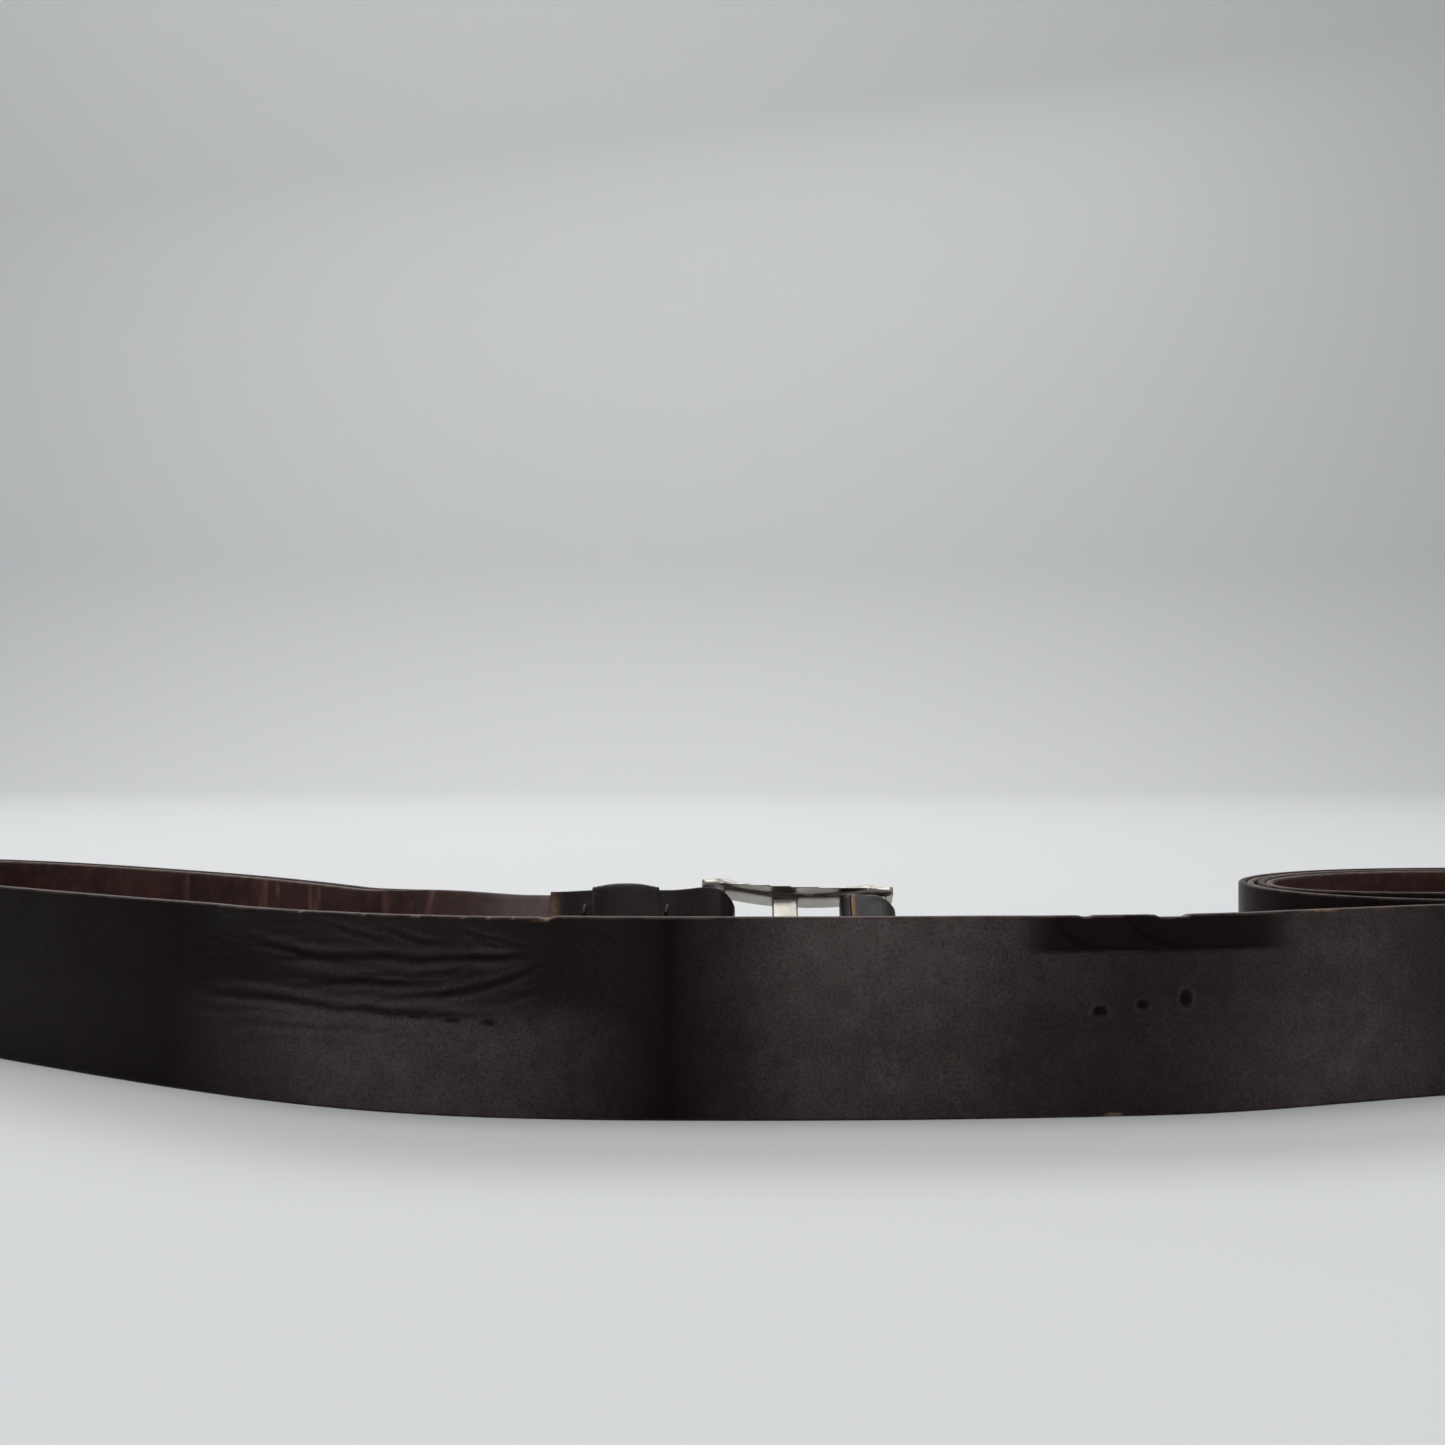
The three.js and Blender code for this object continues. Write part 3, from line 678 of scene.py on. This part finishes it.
def half_width(s, inset=0.0):
    """Half the strap's width: even along it, and drawn in to a rounded point at the tip."""
    q = np.clip((s - (BELT_LENGTH - TIP_LENGTH)) / TIP_LENGTH, 0, 0.985)
    return STRAP_WIDTH / 2 * (1 - q**2.1) ** 0.62 - inset


def run_stops(fine, coarse):
    """Places along the strap: close together where the outer run shows, wider elsewhere."""
    stops = [np.arange(LINING_STARTS, LOOP_END + 30, coarse)]
    stops.append(np.arange(stops[-1][-1] + fine, COIL_START + 10, fine))
    stops.append(np.arange(stops[-1][-1] + coarse, BELT_LENGTH - TIP_LENGTH, coarse))
    steps = 26
    curve = np.sin(np.arange(1, steps + 1) / steps * math.pi / 2)
    stops.append(BELT_LENGTH - TIP_LENGTH * (1 - curve) - 1e-3)
    return np.concatenate(stops)


def fold_track():
    """The grain leather's turned-back end: flap, fold round the heel bar, and back to the run."""
    loop = HEEL_BAR_RADIUS + GAP + GRAIN_THICKNESS / 2
    far = np.arange(FLAP_LENGTH, FOLD_SPREAD, -0.6)
    thickness = SKIVED_THICKNESS + (FLAP_THICKNESS - SKIVED_THICKNESS) * smooth(
        (FLAP_LENGTH - far) / SKIVE_LENGTH
    )
    line = [(-back, FLAP_TOP - t / 2) for back, t in zip(far, thickness)]
    low, high = FLAP_TOP - FLAP_THICKNESS / 2, GRAIN_BACK + GRAIN_THICKNESS / 2
    spread = np.linspace(FOLD_SPREAD, 0, 16)
    share = smooth(1 - spread / FOLD_SPREAD)
    line += [(-back, low + (BAR_OUT - loop - low) * k) for back, k in zip(spread, share)]
    turn = np.linspace(-math.pi / 2, math.pi / 2, 22)[1:-1]
    line += [(loop * math.cos(a), BAR_OUT + loop * math.sin(a)) for a in turn]
    line += [(-back, high + (BAR_OUT + loop - high) * k) for back, k in zip(spread[::-1], share[::-1])]
    line += [(-back, high) for back in np.arange(FOLD_SPREAD + 0.7, LINING_STARTS - 0.3, 0.8)]
    thick = np.full(len(line), FLAP_THICKNESS)
    thick[: len(far)] = thickness
    turned = len(far) + len(spread)
    thick[turned:] = GRAIN_THICKNESS
    end = HEEL_BAR_RADIUS + GAP + GRAIN_THICKNESS
    half = STRAP_WIDTH / 2 - round_off(end - np.array(line)[:, 0], FOLD_CORNER)
    return flat_track(line, s=-np.arange(len(line), 0, -1.0)), thick, half


# Painted sheen along the outer run, a painted reflection that lightens the leather to a greyer satin: X
# and amount.
PAINTED_SHEEN = [
    (-130, 0.04), (-105, 0.02), (-90, 0.26), (-74, 0.68), (-58, 0.72), (-42, 0.60), (-26, 0.34),
    (-11, 0.02), (0, 0.34), (12, 0.86), (25, 0.96), (38, 0.76), (52, 0.40), (70, 0.26), (86, 0.36),
    (100, 0.62), (114, 0.74), (126, 0.50), (140, 0.16),
]


def painted_sheen_on_run(s, w):
    """How much painted sheen the outer face gets: by place along the run, then less towards one edge or
    the other.
    """
    x = x_on_run(s)
    places, amounts = zip(*PAINTED_SHEEN)
    along = np.interp(x, places, amounts)
    left = 0.22 + 0.78 * smooth((5 - w) / 8)
    middle = 0.68 + 0.32 * smooth((w + 6) / 20)
    right = 0.74 + 0.26 * smooth((6 - w) / 18)
    from_left = smooth((x + 32) / 26)
    from_middle = smooth((x - 52) / 34)
    share = along * (left + (middle - left) * from_left + (right - middle) * from_middle)
    # Inside the scoops the painted sheen is taken out, so they stay dark.
    under_scoops = 1 - 0.95 * between(x, 56, 92, 8) * smooth((w - SCOOP_LINE) / 0.8)
    return np.clip(share * under_scoops * (1 + 0.12 * ripple(s / 7, w / 5, 8)), 0.01, 1)


def raw_on_strap(s, w):
    """Where the dye has worn off: chips, specks and a notch on the upper edge, a nick below."""
    x = x_on_run(s)
    chips = between(x, 104, 107.5, 1) * smooth((w - 17.0) / 0.3)
    nick = between(x, 64.8, 67, 0.5) * smooth((-16.9 - w) / 0.3)
    notch = between(x, -34, -32, 0.6) * smooth((w - 16.6) / 0.5)
    specks = 0.8 * between(x, -80, -34, 8) * smooth((w - 17.0) / 0.3) * (ripple(x / 1.1, 3, 9) > 0.25)
    return np.clip(chips + 2 * nick + 0.45 * notch + specks, 0, 1)


def hole_tools():
    """Bars that punch the tongue's holes through both layers."""
    lines = []
    for i in range(HOLE_COUNT):
        at = strap_track(np.array([BELT_LENGTH - FIRST_HOLE_FROM_TIP - i * HOLE_PITCH]))
        reach = np.linspace(-1, 1, 3) * (STRAP_THICKNESS / 2 + GAP)
        lines.append(at.centre + reach[:, None] * at.out)
    return lines


def punched(piece):
    """The piece with the tongue's holes cut through it."""
    upward = np.array([0, 0, 1.0])
    points, faces = [], []
    for line in hole_tools():
        axis = line[-1] - line[0]
        axis /= np.linalg.norm(axis)
        side = np.cross(axis, upward)
        angle = np.arange(HOLE_SIDES) / HOLE_SIDES * TAU
        ring = HOLE_RADIUS * (np.cos(angle)[:, None] * side + np.sin(angle)[:, None] * upward)
        faces += ring_faces(len(line), len(angle), False, start=len(points) * len(angle))
        points += [spot + ring for spot in line]
    tool = new_piece("punch", np.array(points).reshape(-1, 3), faces)
    cut = piece.modifiers.new("punch", "BOOLEAN")
    cut.operation = "DIFFERENCE"
    cut.solver = "MANIFOLD"
    cut.object = tool
    solidified(piece)
    bpy.data.objects.remove(tool)
    return piece


def strap_grain():
    turned, thick, fold_half = fold_track()
    run = strap_track(run_stops(0.45, 1.3))
    track = turned.joined(run)
    count = len(turned.s)
    middle = np.zeros(count)
    outer = np.concatenate([middle + thick / 2, np.full(len(run.s), OUTER_FACE)])
    inner = np.concatenate([middle - thick / 2, np.full(len(run.s), GRAIN_BACK)])
    half = np.concatenate([fold_half, half_width(run.s)])
    lower = np.concatenate([np.zeros(count), top_edge_wear(run.s)])

    def relief(s, w):
        on_run = s > 0
        return np.where(on_run, run_relief(s, w), 0.03 * ripple(s / 4, w / 4))

    def marks_raw(s, w):
        skived = smooth((5 - len(turned.s) - s) / 4)
        return np.where(s < 0, 0.6 * skived, raw_on_strap(s, w))

    piece = band(
        "strap_grain", track, outer, inner, half, face_points=88, back_points=8,
        relief=relief, warp=run_warp,
        marks={
            # The sheen mark paints a reflection into the colour.
            "painted_sheen": painted_sheen_on_run,
            "raw": marks_raw,
            # The ridge mark paints a highlight on the raised wrinkles, the crease mark paints shade into
            # their grooves.
            "ridge": lambda s, w: np.clip(RIDGE_HIGHLIGHT_GAIN * run_wear(s, w), 0, 1),
            "crease_shade": lambda s, w: np.clip(-CREASE_SHADE_GAIN * run_wear(s, w), 0, 1),
        },
    )
    drop_top_edge(piece, lower)
    return finish_piece(punched(piece), GRAIN, "grain_leather", "strap", "strap_grain_leather")


def drop_top_edge(piece, lower):
    """Lowers the points along the upper edge by so much at each ring."""
    mesh = piece.data
    co = np.empty(len(mesh.vertices) * 3, np.float32)
    mesh.vertices.foreach_get("co", co)
    co = co.reshape(len(lower), -1, 3)
    across = np.empty(len(mesh.vertices), np.float32)
    mesh.attributes["across"].data.foreach_get("value", across)
    share = smooth((across.reshape(len(lower), -1) - (STRAP_WIDTH / 2 - 2.5)) / 2.5)
    co[..., 2] -= share * lower[:, None] * MM
    mesh.vertices.foreach_set("co", co.ravel())
    mesh.update()


# Light upright cracks in the lining of the back run: X and how wide. One forks higher up.
FORKED_CRACK, FORKS_ABOVE = -86.3, 6
CRACKS = [
    (-100.3, 0.5), (-99.0, 0.35), (-96.2, 0.35), (FORKED_CRACK, 0.55), (-68.5, 0.4), (-122, 0.4),
    (-60.5, 0.3),
]


def crack_marks(s, w):
    x = np.interp(s, PATH_S, PATH[:, 0] - MIDDLE[0])
    on_back = s < LOOP_END
    total = 0 * w
    for spot, width in CRACKS:
        aside = x - spot - 0.5 * ripple(w / 4, spot)
        forks = (spot == FORKED_CRACK) & (w > FORKS_ABOVE)
        away = np.where(forks, np.abs(aside) - 0.12 * (w - FORKS_ABOVE), aside)
        total = total + np.exp(-((away / width) ** 2)) * (0.6 + 0.4 * ripple(w / 2.5, spot, 2))
    return np.where(on_back, np.clip(total, 0, 1), 0)


def strap_lining():
    track = strap_track(run_stops(1.0, 1.0))
    track.out = -track.out
    half = half_width(track.s, LINING_INSET)
    lower = top_edge_wear(track.s)

    def relief(s, w):
        soft = 0.05 * ripple(s / 5, w / 6, 12) + 0.02 * ripple(s / 1.6, w / 1.9, 13)
        return soft - 0.12 * crack_marks(s, w)

    piece = band(
        "strap_lining_layer", track, -LINING_BACK, -LINING_TOP - GLUE_FILL, half,
        face_points=36, back_points=6,
        relief=relief, warp=lambda s, w: -run_warp(s, w), marks={"crack": crack_marks},
    )
    drop_top_edge(piece, lower)
    turned_out(piece)
    return finish_piece(punched(piece), LINING, "lining_leather", "strap", "strap_lining")


def turned_out(piece):
    """Makes every face of the piece look outwards."""
    piece.data.flip_normals()
    piece.data.update()


# ---- the keeper, its staple and the seams ----


def keeper_line(wall, steps=8):
    """The keeper's outline seen along the strap, in out and across, going round."""
    half = STRAP_WIDTH / 2 + KEEPER_CLEARANCE + wall
    back = FLAP_FACE - KEEPER_CLEARANCE - wall
    front = OUTER_FACE + KEEPER_ROOM + wall
    near, far = (radius + wall for radius in KEEPER_CORNERS)
    line = []
    corners = [
        (front - far, half - far, far, 0), (back + near, half - near, near, 1),
        (back + near, -half + near, near, 2), (front - far, -half + far, far, 3),
    ]
    for out, across, radius, quarter in corners:
        for i in range(steps + 1):
            angle = (quarter + i / steps) * math.pi / 2
            line.append((out + radius * math.cos(angle), across + radius * math.sin(angle)))
    return filled(line, 1.0)


def filled(line, step):
    """The closed line with points added so that none are further apart than the step."""
    dense = []
    for here, there in zip(line, line[1:] + line[:1]):
        length = math.dist(here, there)
        pieces = max(1, math.ceil(length / step))
        for i in range(pieces):
            t = i / pieces
            dense.append((here[0] + (there[0] - here[0]) * t, here[1] + (there[1] - here[1]) * t))
    return dense


def keeper():
    line = np.array(keeper_line(KEEPER_THICKNESS / 2))
    heading = np.roll(line, -1, axis=0) - np.roll(line, 1, axis=0)
    heading /= np.linalg.norm(heading, axis=1)[:, None]
    x = -KEEPER_FROM - KEEPER_WIDTH / 2
    centre = at_end(x, line[:, 0], line[:, 1])
    out = heading[:, 1:] * END_OUT - heading[:, :1] * END_ACROSS
    track = Track(centre, out, np.tile(END_X, (len(line), 1)), np.arange(len(line)) * 1.0)

    def relief(s, w):
        line_in = np.exp(-(((np.abs(w) - (KEEPER_WIDTH / 2 - 1.7)) / 0.28) ** 2))
        crown = 0.85 * (1 - np.abs(w / (KEEPER_WIDTH / 2)) ** 2.2)
        return crown - 0.92 - 0.05 * line_in + 0.02 * ripple(s / 3, w / 2, 15)

    piece = band(
        "keeper_band", track, KEEPER_THICKNESS / 2 - 0.1, -KEEPER_THICKNESS / 2, KEEPER_WIDTH / 2,
        face_points=30, back_points=10, round_by=0.4, relief=relief, closed=True,
        # The keeper gets an even painted sheen.
        marks={"painted_sheen": lambda s, w: 0.12 + 0 * w, "raw": lambda s, w: 0 * w},
    )
    return finish_piece(piece, GRAIN, "grain_leather", "keeper", "keeper_loop")


def staple():
    out = FLAP_FACE - KEEPER_CLEARANCE - KEEPER_THICKNESS - GAP - STAPLE_WIRE / 2
    x = -KEEPER_FROM - KEEPER_WIDTH / 2
    reach = STAPLE_LENGTH / 2 - STAPLE_WIRE / 2
    across = np.concatenate([[-reach] * 3, np.linspace(-reach + 0.4, reach - 0.4, 12), [reach] * 3])
    dive = np.concatenate([[0.75, 0.45, 0.2], np.zeros(12), [0.2, 0.45, 0.75]])
    across[2], across[-3] = -reach + 0.1, reach - 0.1
    line = at_end(x, out + dive, across)
    piece = tubes("keeper_staple_wire", [line], STAPLE_WIRE / 2, 12)
    return finish_piece(piece, WIRE, "steel_wire", "keeper", "keeper_staple")


def seam(name, x, out, side):
    """A row of slanted stitches across the strap, each end sinking into the leather."""
    pitch, length, slant, thick = 2.9, 2.3, 0.35, 0.36
    count = int(SEAM_LENGTH / pitch)
    lines = []
    for i in range(count):
        middle = (i - (count - 1) / 2) * pitch
        t = np.linspace(-1, 1, 9)
        rise = 0.12 - 0.42 * t**4
        lines.append(at_end(x + slant * t / 2, out + side * (GAP / 2 + rise), middle + length * t / 2))
    piece = tubes(name, lines, thick)
    return finish_piece(piece, THREAD, "thread", "strap", name.replace("_row", "_thread"))


def seams():
    places = {
        "heel": KEEPER_FROM - SEAM_BESIDE_KEEPER - HEEL_SEAM_CLEAR,
        "end": KEEPER_FROM + KEEPER_WIDTH + SEAM_BESIDE_KEEPER,
    }
    for spot, back in places.items():
        seam(f"{spot}_seam_inner_row", -back, FLAP_FACE, -1)
        seam(f"{spot}_seam_outer_row", -back, OUTER_FACE, 1)


# ---- the buckle ----


def cast_metal(name, node, voxel, rounds, body):
    """The CAD solid with its edges rounded as on a cast and polished piece."""
    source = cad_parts[node]
    piece = bpy.data.objects.new(name, source.data.copy())
    bpy.context.scene.collection.objects.link(piece)
    remesh = piece.modifiers.new("remesh", "REMESH")
    remesh.mode = "VOXEL"
    remesh.voxel_size = voxel * MM
    ease = piece.modifiers.new("ease", "SMOOTH")
    ease.factor = 0.5
    ease.iterations = rounds
    solidified(piece)
    return finish_piece(piece, NICKEL, "satin_nickel", body, node)


SEAM_ON_WRAP = 2.3 # the wrap's butt seam, from its heel-side edge
WRAP_CORNER = 5.0 # the radius of its outline on the toe side


def toe_wrap():
    wall = GAP + WRAP_THICKNESS / 2
    left, right = TOE_BAR_FROM - wall, TOE_BAR_TO + wall
    deep = TOE_BAR_DEPTH / 2 + wall
    corner = 1.9
    seam_x = TOE_BAR_FROM - GAP - WRAP_THICKNESS + SEAM_ON_WRAP
    butt = 0.12
    line = [(x, -deep) for x in np.linspace(seam_x + butt, right - corner, 14)]
    for x, y, quarter in [
        (right - corner, -deep + corner, 3), (right - corner, deep - corner, 0),
        (left + corner, deep - corner, 1), (left + corner, -deep + corner, 2),
    ]:
        arc = (quarter + np.linspace(0, 1, 9)) * math.pi / 2
        line += [(x + corner * math.cos(a), y + corner * math.sin(a)) for a in arc]
        if quarter == 0:
            line += [(v, deep) for v in np.linspace(right - corner, left + corner, 12)[1:-1]]
    line.append((seam_x - butt, -deep))
    line = np.array(line) + (0, BAR_OUT + TOE_OUT)
    track = flat_track(line)
    last = len(line) - 1
    half = HALF_WINDOW - GAP - round_off(TOE_BAR_TO + GAP + WRAP_THICKNESS - line[:, 0], WRAP_CORNER)

    def lifted(s, w):
        ends = np.exp(-s / 1.2) + np.exp(-(last - s) / 1.0)
        puckers = 0.08 * ripple(w / 1.6, s / 5, 17) + 0.05 * ripple(w / 5, s / 3, 18)
        return 0.16 * ends * (1 + 0.5 * ripple(w / 2, 0, 19)) + puckers

    def raw(s, w):
        ends = np.exp(-((s / 0.8) ** 2)) + np.exp(-(((last - s) / 0.7) ** 2))
        return np.clip(ends, 0, 1)

    piece = band(
        "toe_bar_sleeve", track, WRAP_THICKNESS / 2 - 0.05, -WRAP_THICKNESS / 2, half,
        face_points=60, back_points=10, round_by=0.5, relief=lifted, marks={"raw": raw},
    )
    return finish_piece(piece, WRAP, "wrap_leather", "buckle", "toe_bar_wrap")


# ---- floor, light and camera ----


def backdrop():
    """A pale floor that curves up into a wall."""
    bend, front, wall, top, side = 260.0, -4000.0, 1400.0, 2200.0, 7000.0
    line = [(front, 0.0), (wall - bend, 0.0)]
    for angle in np.linspace(0, math.pi / 2, 24)[1:]:
        line.append((wall - bend + bend * math.sin(angle), bend - bend * math.cos(angle)))
    line.append((wall, top))
    points = [(x, y, z) for y, z in line for x in (-side, side)]
    faces = [(2 * i, 2 * i + 1, 2 * i + 3, 2 * i + 2) for i in range(len(line) - 1)]
    floor = new_piece("floor", points, faces)
    n = Nodes("pale_floor")
    n.set(Base_Color=rgb(214, 215, 216), Roughness=0.75)
    floor.data.materials.append(n.material)


def softbox(name, at, look_at, size, power):
    light = bpy.data.lights.new(name, "AREA")
    light.shape = "RECTANGLE"
    light.size, light.size_y = size
    light.energy = power
    lamp = bpy.data.objects.new(name, light)
    lamp.location = Vector(at)
    lamp.rotation_euler = (Vector(look_at) - Vector(at)).to_track_quat("-Z", "Y").to_euler()
    bpy.context.scene.collection.objects.link(lamp)


def lights():
    softbox("key", (-0.15, 0.95, 1.15), (0, -0.05, 0), (1.5, 0.5), 8)
    softbox("wall", (-0.3, 0.1, 1.7), (-0.1, 1.3, 0.3), (1.6, 0.8), 13)
    softbox("rake", (0.1, -0.38, 0.9), (0.02, -0.05, 0.01), (0.7, 0.25), 1.8)
    world = bpy.data.worlds.new("studio")
    world.use_nodes = True
    tree = world.node_tree
    sky = tree.nodes["Background"]
    # The room is lighter behind the belt than in front of it.
    where = tree.nodes.new("ShaderNodeTexCoord")
    parts = tree.nodes.new("ShaderNodeSeparateXYZ")
    depth = tree.nodes.new("ShaderNodeMapRange")
    depth.inputs["From Min"].default_value = -1.0
    depth.inputs["To Min"].default_value = 0.22
    depth.inputs["To Max"].default_value = 0.62
    tree.links.new(where.outputs["Generated"], parts.inputs["Vector"])
    tree.links.new(parts.outputs["Y"], depth.inputs["Value"])
    tree.links.new(depth.outputs["Result"], sky.inputs["Strength"])
    sky.inputs["Color"].default_value = (0.9, 0.93, 0.95, 1)
    bpy.context.scene.world = world


def camera():
    data = bpy.data.cameras.new("camera")
    data.lens = CAMERA_LENS
    data.sensor_width = 36.0
    data.clip_start = 0.01
    eye = bpy.data.objects.new("camera", data)
    eye.location = Vector(CAMERA_AT) * MM
    eye.rotation_euler = (math.pi / 2, 0, 0)
    scene = bpy.context.scene
    scene.collection.objects.link(eye)
    scene.camera = eye
    scene.view_settings.view_transform = "Standard"


strap_grain()
strap_lining()
keeper()
staple()
seams()
cast_metal("buckle_cast_frame", "buckle_frame", voxel=0.24, rounds=5, body="buckle")
cast_metal("buckle_cast_tongue", "buckle_tongue", voxel=0.14, rounds=6, body="tongue")
toe_wrap()
backdrop()
lights()
camera()
